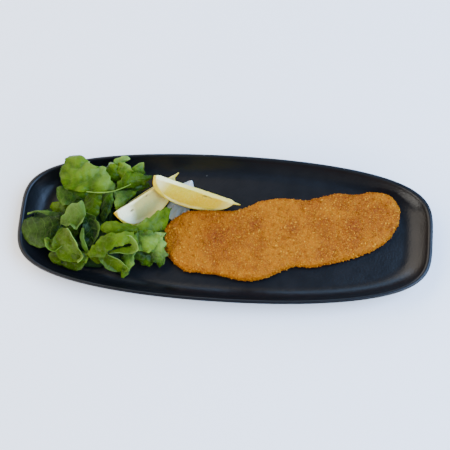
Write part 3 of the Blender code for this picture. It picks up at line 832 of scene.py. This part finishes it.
# Pale tint and painted sheen, broken up by the blotches.
pale_and_sheen_share = calc(leaf_tree, "MULTIPLY", calc(leaf_tree, "POWER", leaf_marks["pale_and_painted_sheen"], 1.4),
             remap(leaf_tree, leaf_spots["Blotch"], 0.35, 0.62, 0.4, 0.9))
blade = blend_colours(leaf_tree, pale_and_sheen_share, blade, leaf_paleness_and_sheen)
blade = blend_colours(leaf_tree, leaf_marks["margin"], blade, leaf_rim_highlight)
leaf_tree.links.new(blade, leaf_shader.inputs["Base Color"])
blister = remap(leaf_tree, small_veins.outputs["Distance"], 0.0, 0.45)
leaf_relief = calc(leaf_tree, "ADD", blister, calc(leaf_tree, "MULTIPLY", leaf_spots["Grain"], 0.5))
wire_bump(leaf_tree, leaf_shader, leaf_relief, 0.35, 0.6)


def curve_through(points, count):
    """Even parameter steps along a smooth curve through a few points, as an array."""
    points = [Vector(point) for point in points]
    padded = [points[0] * 2 - points[1]] + points + [points[-1] * 2 - points[-2]]
    spans = len(points) - 1
    run = []
    for i in range(count):
        t = i / (count - 1) * spans
        k = min(int(t), spans - 1)
        t -= k
        a, b, c, d = padded[k:k + 4]
        run.append(0.5 * (2 * b + (c - a) * t + (2 * a - 5 * b + 4 * c - d) * t * t
                          + (3 * b - a - 3 * c + d) * t * t * t))
    return np.array([tuple(point) for point in run])


def unit(arrows):
    """The arrows of an array, each brought to length one."""
    return arrows / np.maximum(np.linalg.norm(arrows, axis=-1), 1e-12)[..., None]


def closed_blade(name, upper, lower):
    """A thin closed mesh between two sheets of points, rows from base to tip."""
    rows, columns = upper.shape[:2]
    places = np.concatenate([upper.reshape(-1, 3), lower.reshape(-1, 3)])
    index = np.arange(rows * columns).reshape(rows, columns)
    top = np.stack([index[:-1, :-1], index[1:, :-1], index[1:, 1:], index[:-1, 1:]], -1).reshape(-1, 4)
    bottom = top[:, ::-1] + rows * columns
    border = np.concatenate([index[0, :], index[1:, -1], index[-1, -2::-1], index[-2:0:-1, 0]])
    following = np.roll(border, -1)
    wall = np.stack([border, following, following + rows * columns, border + rows * columns], -1)
    mesh = bpy.data.meshes.new(name)
    mesh.from_pydata(places.tolist(), [], np.concatenate([top, bottom, wall]).tolist())
    return mesh


def mark_blade(mesh, marks, uv):
    """Store the marks of the upper and lower side on the mesh, and its way along and across."""
    for label, (above, below) in marks.items():
        values = np.concatenate([above.ravel(), below.ravel()]).astype(np.float32)
        mesh.attributes.new(label, "FLOAT", "POINT").data.foreach_set("value", values)
    uv = np.concatenate([uv, uv])
    layer = mesh.uv_layers.new(name="leaf")
    loops = np.zeros(len(mesh.loops), dtype=np.int32)
    mesh.loops.foreach_get("vertex_index", loops)
    layer.data.foreach_set("uv", uv[loops].astype(np.float32).ravel())


def puckers(sheet, seed):
    """Height in millimetres of the blisters between the veins, at each point of a sheet."""
    coarse_shift = Vector((seed, 0, 0))
    fine_shift = Vector((0, seed, 0))
    heights = [2.4 * abs(noise.noise(Vector(point) * 75 + coarse_shift))
               + 0.7 * abs(noise.noise(Vector(point) * 190 + fine_shift)) - 0.6
               for point in sheet.reshape(-1, 3)]
    return np.array(heights).reshape(sheet.shape[:2])


leaf_half_thickness = 0.25 * MM
leaf_rim_band = 3.2 * MM
full_strength_width = 9 * MM
ruffle_pitch = 2.0 * MM
fine_ruffle_pitch = 1.05 * MM
lobe_pitch = 1.6 * MM
fine_lobe_pitch = 0.8 * MM
midrib_groove_reach = 2.4 * MM
midrib_swell_reach = 3.0 * MM
underside_paleness = 0.25


def leaf(name, first_edge, second_edge, tone, yellow=0.3, bulge=2.0, ruffle=0.8, lobes=0.5, pucker=1.0,
         rim_highlights=(0.0, 0.0), curl=(0.0, 0.0), painted_shade_across=0.0, pale_and_painted_sheen=(0.0, 0.0, 0.0, 0.0), rib=0.2, frill=1.0,
         seed=0):
    """One leaf between its two margins, in millimetres from base to tip: arched across, puckered,
    ruffled and curled up at the margins.  The tone, the leaf's own shade of green with painted shade
    in it, runs from its base to its tip and changes by a painted shade towards the second margin;
    the pale tint, mostly a painted sheen, is given for its four corners, base first."""
    rows = 60
    columns = 41
    first = curve_through(first_edge, rows) * MM
    second = curve_through(second_edge, rows) * MM
    grid_u, grid_v = np.meshgrid(np.linspace(0, 1, rows), np.linspace(-1, 1, columns), indexing="ij")
    edge = np.abs(grid_v)
    towards_second = (grid_v + 1) / 2
    sheet = first[:, None, :] * (1 - towards_second)[..., None]
    sheet = sheet + second[:, None, :] * towards_second[..., None]
    width = np.linalg.norm(second - first, axis=1)[:, None]
    spine = (first + second) / 2
    side = unit(second - first)
    side[-1] = side[-2]
    normal = unit(np.cross(side, unit(np.gradient(spine, axis=0))))
    if normal[:, 2].sum() < 0:
        normal = -normal
    fullness = np.minimum(1, width / full_strength_width)
    sign = np.where(grid_v > 0, 1.0, -1.0)
    run = np.concatenate([[0], np.cumsum(np.linalg.norm(np.diff(spine, axis=0), axis=1))])[:, None]

    wave = np.sin(run * frill / ruffle_pitch + 1.7 * sign + seed * 1.9)
    wave += 0.5 * np.sin(run * frill / fine_ruffle_pitch - 0.8 * sign + seed * 0.7)
    curled = np.where(grid_v < 0, curl[0], curl[1]) * np.clip((edge - 0.72) / 0.28, 0, 1) ** 1.6
    arch = bulge * (1 - grid_v ** 2) * np.sin(np.pi * np.clip(grid_u * 0.9 + 0.1, 0, 1)) ** 0.5
    bumps = puckers(sheet, seed)
    groove = 0.5 * rib * np.exp(-(grid_v * width / midrib_groove_reach) ** 2)
    lift = (arch + ruffle * wave * edge ** 2.4 + curled + pucker * bumps - groove) * MM * fullness
    notch = np.sin(run / lobe_pitch + seed + sign) + 0.5 * np.sin(run / fine_lobe_pitch + seed * 2.3 - sign)
    push = lobes * MM * notch * edge ** 3 * sign * fullness
    middle = sheet + normal[:, None, :] * lift[..., None] + side[:, None, :] * push[..., None]

    face_normal = unit(np.cross(np.gradient(middle, axis=0), np.gradient(middle, axis=1)))
    if (face_normal * normal[:, None, :]).sum() < 0:
        face_normal = -face_normal
    rib_swell = 1 + 2.0 * rib * np.exp(-(grid_v * width / midrib_swell_reach) ** 2) * (1 - grid_u)
    half = leaf_half_thickness * rib_swell * (0.5 + 0.5 * np.sqrt(np.clip(1 - edge ** 6, 0, 1)))
    half = (half * np.minimum(1, 0.25 + width / (4 * MM)))[..., None]
    mesh = closed_blade(name, middle + face_normal * half, middle - face_normal * half)

    # Painted highlight along the margins: a soft pale band, coming and going along the leaf.
    band = np.clip(leaf_rim_band / np.maximum(width / 2, 2 * MM), 0.08, 0.5)
    margin = np.where(grid_v < 0, rim_highlights[0], rim_highlights[1]) * np.clip((edge - 1 + band) / band, 0, 1) ** 0.8
    margin = margin * np.clip(0.75 + 0.5 * np.sin(run / (4.0 * MM) + seed), 0.2, 1)
    # Tone from base to tip, with a painted shade across the leaf towards one margin.
    tone_and_painted_shade = tone[0] + (tone[1] - tone[0]) * grid_u + painted_shade_across * grid_v
    # Painted sheen, with some pale tint, at the four corners of the upper side; the underside gets its paler
    # tint.
    pale_sheen_corners = (1 - grid_u) * (pale_and_painted_sheen[0] + (pale_and_painted_sheen[1] - pale_and_painted_sheen[0]) * towards_second)
    pale_sheen_corners += grid_u * (pale_and_painted_sheen[2] + (pale_and_painted_sheen[3] - pale_and_painted_sheen[2]) * towards_second)
    marks = {"tone": (tone_and_painted_shade, tone_and_painted_shade), "yellow": (np.full_like(tone_and_painted_shade, yellow),) * 2,
             "margin": (margin, margin), "pale_and_painted_sheen": (pale_sheen_corners, np.full_like(tone_and_painted_shade, underside_paleness)),
             "rib": (np.full_like(tone_and_painted_shade, rib),) * 2, "swell": (bumps * pucker, bumps * pucker)}
    mark_blade(mesh, marks, np.stack([np.repeat(run[:, 0] * 100, columns), grid_v.ravel()], -1))
    turn_outward(mesh)
    add_piece(name, mesh, leaf_material, "salad")


# The core is painted near-black green: painted shade for the gaps deep in the heap.
core_material, core_tree, core_shader = new_material("shaded_inner_leaves", 0.5, Specular_IOR_Level=0.1)
core_spots = unevenness(core_tree, 12.0, 2.0, 6.0)
core_tree.links.new(blend_colours(core_tree, core_spots["Blotch"], (0.003, 0.009, 0.002),
                                  (0.012, 0.034, 0.005)), core_shader.inputs["Base Color"])
wire_bump(core_tree, core_shader, core_spots["Grain"], 0.8, 0.8)
core_inset = 6.0 * MM
core_crumple = 2.5 * MM
core_mesh = remeshed(fixed_shape("salad"), 2.0)
core_normals = [vertex.normal.copy() for vertex in core_mesh.vertices]
salad_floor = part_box("salad")[0][2]
for vertex, outward in zip(core_mesh.vertices, core_normals):
    upper_share = min(1.0, max(0.0, (vertex.co.z - salad_floor) / (10 * MM)))
    crumple = noise.noise(vertex.co * 90) * core_crumple
    vertex.co -= outward * ((core_inset + crumple) * upper_share)
    near_wedge = smooth_step(vertex.co.x, -98 * MM, -76 * MM)
    vertex.co.z -= (vertex.co.z - salad_floor) * (0.30 + 0.42 * near_wedge)
add_piece("salad_core", core_mesh, core_material, "salad")


heap_middle = (-109.0, 1.0)


def heap_point(bearing, reach, height):
    """A place in the heap, in millimetres, from its middle."""
    turn = math.radians(bearing)
    return (heap_middle[0] + reach * math.cos(turn), heap_middle[1] + reach * math.sin(turn), height)


lower_leaves = ((66, 45), (90, 44), (114, 42), (139, 38), (164, 33), (190, 40), (216, 36))
lower_leaf_rows = ((30, 0.25, 27), (22, 0.55, 26), (17, 0.85, 19), (5, 1.05, 12))
for number, (bearing, reach) in enumerate(lower_leaves):
    margins = [[heap_point(bearing + side * spread, reach * share, height)
                for spread, share, height in lower_leaf_rows] for side in (1, -1)]
    leaf("leaf_lower_%d" % (number + 1), margins[0], margins[1], (0.05, 0.35), yellow=0.2, bulge=2.0,
         ruffle=1.0, pucker=1.6, rib=0.5, seed=40 + number)

leaf("leaf_far_curly_back",
     [(-97, 37, 26), (-97, 43, 31), (-95, 48, 34), (-91, 52, 35), (-86, 53, 34)],
     [(-88, 37, 26), (-88, 43, 30), (-86, 47, 32), (-84, 49, 33), (-83, 51, 34)],
     (0.5, 0.8), yellow=0.1, bulge=1.5, ruffle=1.6, lobes=1.1, frill=1.2,
     pale_and_painted_sheen=(0.0, 0.2, 0.65, 0.8), painted_shade_across=-0.15, seed=1)
leaf("leaf_far_curly_left",
     [(-98, 31, 26), (-103, 35, 31), (-103, 41, 33), (-100, 46, 34)],
     [(-87, 33, 26), (-88, 37, 31), (-91, 42, 35), (-98, 46, 34)],
     (0.35, 0.75), bulge=3.0, ruffle=1.2, lobes=0.8, painted_shade_across=0.1, seed=2)
leaf("leaf_far_curly_right",
     [(-84, 34, 27), (-81, 40, 32), (-77, 45, 34), (-74, 47, 34)],
     [(-73, 37, 26), (-70, 41, 30), (-70, 44, 32), (-71, 48, 33)],
     (0.45, 0.8), yellow=0.1, bulge=2.0, ruffle=0.8, lobes=0.6, pale_and_painted_sheen=(0.0, 0.1, 0.3, 0.55),
     curl=(0.0, 1.5), seed=3)
leaf("leaf_far_curly_middle",
     [(-93, 34, 30), (-93, 39, 34), (-91, 44, 37), (-88, 45, 38)],
     [(-79, 35, 30), (-78, 38, 33), (-81, 42, 36), (-86, 45, 38)],
     (0.6, 0.95), yellow=0.2, bulge=2.5, ruffle=1.8, lobes=0.9, pucker=1.5, frill=1.3,
     pale_and_painted_sheen=(0.0, 0.0, 0.1, 0.75), seed=33)
leaf("leaf_dark_right",
     [(-93, 20, 31), (-90, 27, 35), (-86, 34, 37), (-78, 38, 36), (-70, 37, 32), (-63, 39, 27)],
     [(-92, 21, 31), (-84, 24, 31), (-77, 26, 30), (-71, 29, 29), (-66, 33, 28), (-63, 38, 27)],
     (0.42, 0.50), yellow=0.2, bulge=3.0, ruffle=0.9, lobes=0.9, painted_shade_across=-0.12, rib=0.5, seed=4)
leaf("leaf_behind_wedge",
     [(-86, 24, 27), (-78, 27, 28), (-68, 35, 27)],
     [(-83, 21, 23), (-73, 25, 24), (-64, 30, 23)],
     (0.12, 0.35), yellow=0.0, pale_and_painted_sheen=(0.0, 0.0, 0.25, 0.1), seed=5)
leaf("leaf_left_strip",
     [(-115, 11, 27), (-124, 13, 29), (-131, 7, 28), (-137, 9, 27), (-143, 18, 26)],
     [(-112, 21, 31), (-124, 22, 32), (-135, 23, 31), (-141, 24, 29), (-144, 22, 27)],
     (0.35, 0.4), yellow=0.1, bulge=2.0, ruffle=0.8, painted_shade_across=0.15, curl=(1.5, 0),
     pale_and_painted_sheen=(0.0, 0.0, 0.25, 0.0), seed=6)
leaf("leaf_inner_yellow",
     [(-117, 20, 31), (-118, 9, 30), (-115, 1, 29), (-109, -3, 26)],
     [(-103, 19, 31), (-103, 10, 31), (-104, 3, 30), (-107, -3, 27)],
     (0.45, 0.30), yellow=0.5, bulge=1.5, painted_shade_across=0.1, seed=7)
leaf("leaf_inner_dark_strip",
     [(-103, 20, 32), (-103, 10, 31), (-103, 1, 29), (-102, -5, 26)],
     [(-94, 21, 31), (-93, 10, 31), (-96, 1, 29), (-100, -5, 26)],
     (0.22, 0.10), yellow=0.1, bulge=1.5, rim_highlights=(0.0, 0.15), painted_shade_across=0.15, seed=8)
leaf("leaf_grey_middle",
     [(-94, 21, 31), (-92, 13, 31), (-92, 8, 30), (-90, 5, 28)],
     [(-73, 25, 27), (-77, 19, 28), (-83, 12, 28), (-89, 6, 28)],
     (0.35, 0.45), yellow=0.0, bulge=1.0, ruffle=0.8, pale_and_painted_sheen=(0.35, 0.05, 0.30, 0.15), pucker=1.2,
     seed=9)
leaf("leaf_top_left",
     [(-95, 20, 30), (-113, 18, 33), (-132, 19, 35), (-140, 29, 37), (-138, 42, 38), (-135, 49, 37)],
     [(-92, 25, 30), (-97, 31, 35), (-103, 40, 38), (-110, 39, 40), (-116, 43, 40), (-123, 49, 38)],
     (0.58, 0.70), yellow=0.5, bulge=2.5, ruffle=0.6, lobes=0.6, pucker=1.4, painted_shade_across=0.12,
     pale_and_painted_sheen=(0.0, 0.5, 0.0, 0.15), rib=0.3, seed=10)
leaf("leaf_stalk",
     [(-116, 18, 36), (-104, 17, 38), (-93, 19, 38), (-85, 23, 37), (-79, 27, 36)],
     [(-116, 17, 36), (-104, 16, 38), (-93, 18, 38), (-85, 22, 37), (-79, 26, 36)],
     (0.7, 0.6), yellow=0.0, bulge=0.3, ruffle=0.0, lobes=0.0, pucker=0.0,
     pale_and_painted_sheen=(0.5, 0.5, 0.4, 0.4), seed=32)
leaf("leaf_left_yellow",
     [(-130, 3, 24), (-137, 1, 22), (-145, 4, 19), (-150, 8, 17)],
     [(-127, 10, 26), (-136, 11, 24), (-144, 13, 20), (-148, 12, 18)],
     (0.30, 0.60), yellow=0.5, painted_shade_across=0.1, pucker=0.6, seed=11)
leaf("leaf_thin_tip",
     [(-138, -5, 25), (-148, -2, 25), (-158, 1, 24), (-168, 0, 18)],
     [(-137, 1, 25), (-149, 2, 26), (-159, 2, 25), (-168, 2, 18)],
     (0.3, 0.35), yellow=0.0, bulge=0.8, ruffle=0.2, pale_and_painted_sheen=(0.0, 0.15, 0.3, 0.5), seed=12)
leaf("leaf_round_left",
     [(-134, -13, 23), (-143, -24, 20), (-150, -28, 17), (-161, -26, 15), (-170, -18, 15), (-171, -12, 16)],
     [(-138, 0, 25), (-146, 0, 24), (-154, -3, 22), (-164, -2, 19), (-170, -4, 17), (-172, -10, 16)],
     (0.0, 0.26), yellow=0.1, bulge=4.0, ruffle=0.3, lobes=0.3, pucker=0.5, rim_highlights=(0.15, 0.0),
     painted_shade_across=-0.08, pale_and_painted_sheen=(0.0, 0.0, 0.25, 0.16), seed=13)
leaf("leaf_near_under",
     [(-127, -29, 22), (-137, -30, 20), (-145, -32, 15), (-143, -38, 12), (-134, -41, 11), (-127, -44, 11)],
     [(-111, -32, 24), (-112, -36, 21), (-114, -40, 16), (-117, -44, 13), (-121, -45, 11)],
     (0.08, 0.42), yellow=0.5, bulge=2.0, ruffle=0.7, rim_highlights=(0.25, 0.2), painted_shade_across=0.0, seed=14)
leaf("leaf_yellow_lobe",
     [(-132, -29, 27), (-138, -33, 24), (-145, -30, 23), (-149, -23, 23)],
     [(-135, -19, 30), (-140, -23, 25), (-145, -22, 26), (-149, -22, 24)],
     (0.40, 0.7), yellow=0.3, bulge=-2.5, rim_highlights=(0.35, 0.2), curl=(2.0, 1.0),
     pale_and_painted_sheen=(0.0, 0.0, 0.25, 0.15), painted_shade_across=-0.15, seed=15)
leaf("leaf_dark_inner",
     [(-115, 0, 33), (-116, -11, 31), (-116, -21, 28), (-113, -27, 24)],
     [(-114, 0, 34), (-105, -5, 34), (-101, -14, 31), (-107, -27, 26)],
     (0.20, 0.02), yellow=0.0, bulge=-2.0, rim_highlights=(0.0, 0.35), curl=(0, 2.0), pucker=0.8, seed=16)
leaf("leaf_light_rim_strip",
     [(-117, -13, 31), (-118, -20, 29), (-116, -27, 26), (-111, -33, 22)],
     [(-115, -13, 31), (-114, -21, 29), (-111, -28, 26), (-108, -33, 23)],
     (0.45, 0.55), yellow=0.2, bulge=1.0, ruffle=0.3, rim_highlights=(0.0, 0.5), curl=(0, 1.0),
     pale_and_painted_sheen=(0.5, 0.2, 0.25, 0.2), seed=17)
leaf("leaf_yellow_near",
     [(-134, -14, 31), (-140, -23, 28), (-140, -30, 25), (-135, -37, 21), (-126, -40, 20)],
     [(-127, -16, 36), (-121, -22, 36), (-116, -30, 32), (-113, -36, 25), (-118, -40, 21)],
     (0.12, 0.62), yellow=0.9, bulge=-2.0, ruffle=0.4, lobes=0.3, rim_highlights=(0.1, 0.9),
     curl=(0.8, 3.0), pale_and_painted_sheen=(0.0, 0.45, 0.0, 0.1), painted_shade_across=0.12, seed=18)
leaf("leaf_pale_under",
     [(-114, -2, 34), (-117, 7, 36), (-121, 8, 37), (-129, 5, 34), (-135, -4, 31), (-136, -9, 29)],
     [(-115, -4, 34), (-117, -10, 33), (-121, -15, 31), (-124, -13, 31), (-131, -11, 29), (-136, -10, 28)],
     (0.22, 0.38), yellow=0.4, bulge=1.5, ruffle=0.8, lobes=0.9, rim_highlights=(0.1, 0.5), curl=(0, 1.2),
     painted_shade_across=-0.05, pale_and_painted_sheen=(0.40, 0.0, 0.30, 0.15), seed=19)
leaf("leaf_fold_bit",
     [(-115, -32, 22), (-115, -36, 18), (-114, -39, 15)],
     [(-109, -31, 22), (-111, -36, 18), (-113, -39, 15)],
     (0.6, 0.7), pale_and_painted_sheen=(0.1, 0.1, 0.3, 0.3), seed=20)
leaf("leaf_to_meat",
     [(-73, -14, 31), (-63, -14, 30), (-53, -11, 27), (-48, -7, 22)],
     [(-72, -8, 32), (-61, 0, 31), (-53, 8, 28), (-45, 14, 20)],
     (0.7, 0.65), yellow=0.55, bulge=1.5, ruffle=1.0, lobes=0.8, pale_and_painted_sheen=(0.15, 0.3, 0.0, 0.05),
     pucker=1.4, seed=21)
leaf("leaf_brown_bit",
     [(-112, -34, 21), (-107, -37, 18), (-102, -39, 16)],
     [(-107, -31, 23), (-102, -34, 20), (-97, -37, 17)],
     (0.15, 0.35), yellow=0.9, bulge=1.0, seed=22)
leaf("leaf_low_right",
     [(-77, -28, 24), (-70, -34, 20), (-66, -36, 15), (-61, -37, 12)],
     [(-67, -24, 24), (-61, -29, 20), (-56, -32, 15), (-57, -36, 12)],
     (0.15, 0.5), yellow=0.1, bulge=2.0, ruffle=0.9, lobes=1.0, pale_and_painted_sheen=(0.0, 0.0, 0.15, 0.2),
     pucker=0.8, seed=23)
leaf("leaf_crinkled_back",
     [(-60, -12, 27), (-66, -23, 25), (-70, -31, 20), (-66, -36, 15)],
     [(-48, -8, 24), (-47, -20, 21), (-51, -29, 17), (-59, -37, 12)],
     (0.1, 0.2), yellow=0.1, bulge=2.0, ruffle=2.0, lobes=1.0, pucker=1.8, frill=1.4, seed=24)
leaf("leaf_pointed",
     [(-80, -31, 26), (-82, -38, 21), (-83, -43, 15), (-82, -48, 10)],
     [(-71, -29, 26), (-71, -36, 22), (-75, -44, 16), (-80, -48, 10)],
     (0.35, 0.65), yellow=0.15, bulge=1.5, ruffle=1.0, lobes=0.8, rim_highlights=(0.0, 0.3), rib=0.8,
     pale_and_painted_sheen=(0.1, 0.1, 0.1, 0.4), seed=25)
leaf("leaf_crinkled_outer",
     [(-60, -12, 28), (-59, -24, 27), (-57, -32, 20), (-51, -38, 13)],
     [(-48, -11, 24), (-47, -21, 22), (-45, -29, 17), (-48, -35, 13)],
     (0.6, 0.25), yellow=0.05, bulge=2.5, ruffle=2.0, lobes=0.8, pucker=1.8, rim_highlights=(0.0, 0.3),
     frill=1.4, rib=0.9, pale_and_painted_sheen=(0.3, 1.0, 0.0, 0.1), seed=26)
leaf("leaf_crinkled_top",
     [(-73, -18, 32), (-69, -27, 30), (-63, -30, 27), (-57, -28, 24)],
     [(-67, -12, 32), (-58, -13, 31), (-50, -15, 27), (-49, -23, 23)],
     (0.55, 0.7), yellow=0.1, bulge=2.0, ruffle=2.2, lobes=0.8, pucker=1.9, rim_highlights=(0.1, 0.1),
     frill=1.5, rib=0.9, pale_and_painted_sheen=(0.1, 0.1, 0.2, 0.9), seed=27)
leaf("leaf_mid_yellow",
     [(-69, -15, 33), (-80, -18, 34), (-92, -19, 34), (-101, -14, 32)],
     [(-71, -9, 33), (-83, -8, 35), (-94, -7, 35), (-101, -11, 33)],
     (0.55, 0.62), yellow=0.6, bulge=2.5, ruffle=0.6, lobes=0.4, painted_shade_across=0.12, pucker=0.8, seed=28)
leaf("leaf_low_lobe",
     [(-96, -29, 30), (-100, -36, 26), (-97, -41, 20), (-90, -44, 16), (-83, -44, 14)],
     [(-93, -30, 30), (-92, -34, 28), (-83, -36, 25), (-76, -41, 20), (-80, -44, 15)],
     (0.20, 0.65), yellow=0.6, bulge=-1.5, ruffle=0.4, lobes=0.3, rim_highlights=(0.15, 0.55),
     curl=(1.0, 2.0), painted_shade_across=0.1, seed=29)
leaf("leaf_fold_left",
     [(-72, -15, 35), (-85, -18, 38), (-96, -20, 37), (-105, -28, 32), (-110, -34, 28)],
     [(-72, -20, 34), (-79, -27, 35), (-89, -31, 34), (-97, -37, 29), (-108, -37, 27)],
     (0.66, 0.62), yellow=0.65, bulge=2.0, ruffle=0.8, lobes=0.6, rim_highlights=(0.0, 0.1), pucker=1.2,
     painted_shade_across=-0.12, pale_and_painted_sheen=(0.2, 0.0, 0.0, 0.0), seed=30)
leaf("leaf_fold_right",
     [(-78, -19, 38), (-73, -20, 38), (-68, -25, 35), (-67, -30, 32), (-74, -33, 29), (-84, -32, 28),
      (-92, -33, 27)],
     [(-79, -26, 33), (-75, -25, 33), (-73, -26, 33), (-75, -27, 31), (-81, -28, 30), (-88, -30, 29),
      (-93, -32, 27)],
     (0.70, 0.62), yellow=0.7, bulge=0.5, ruffle=0.3, lobes=0.2, rim_highlights=(0.75, 0.0), curl=(1.2, 0),
     pale_and_painted_sheen=(0.5, 0.0, 0.0, 0.0), seed=31)
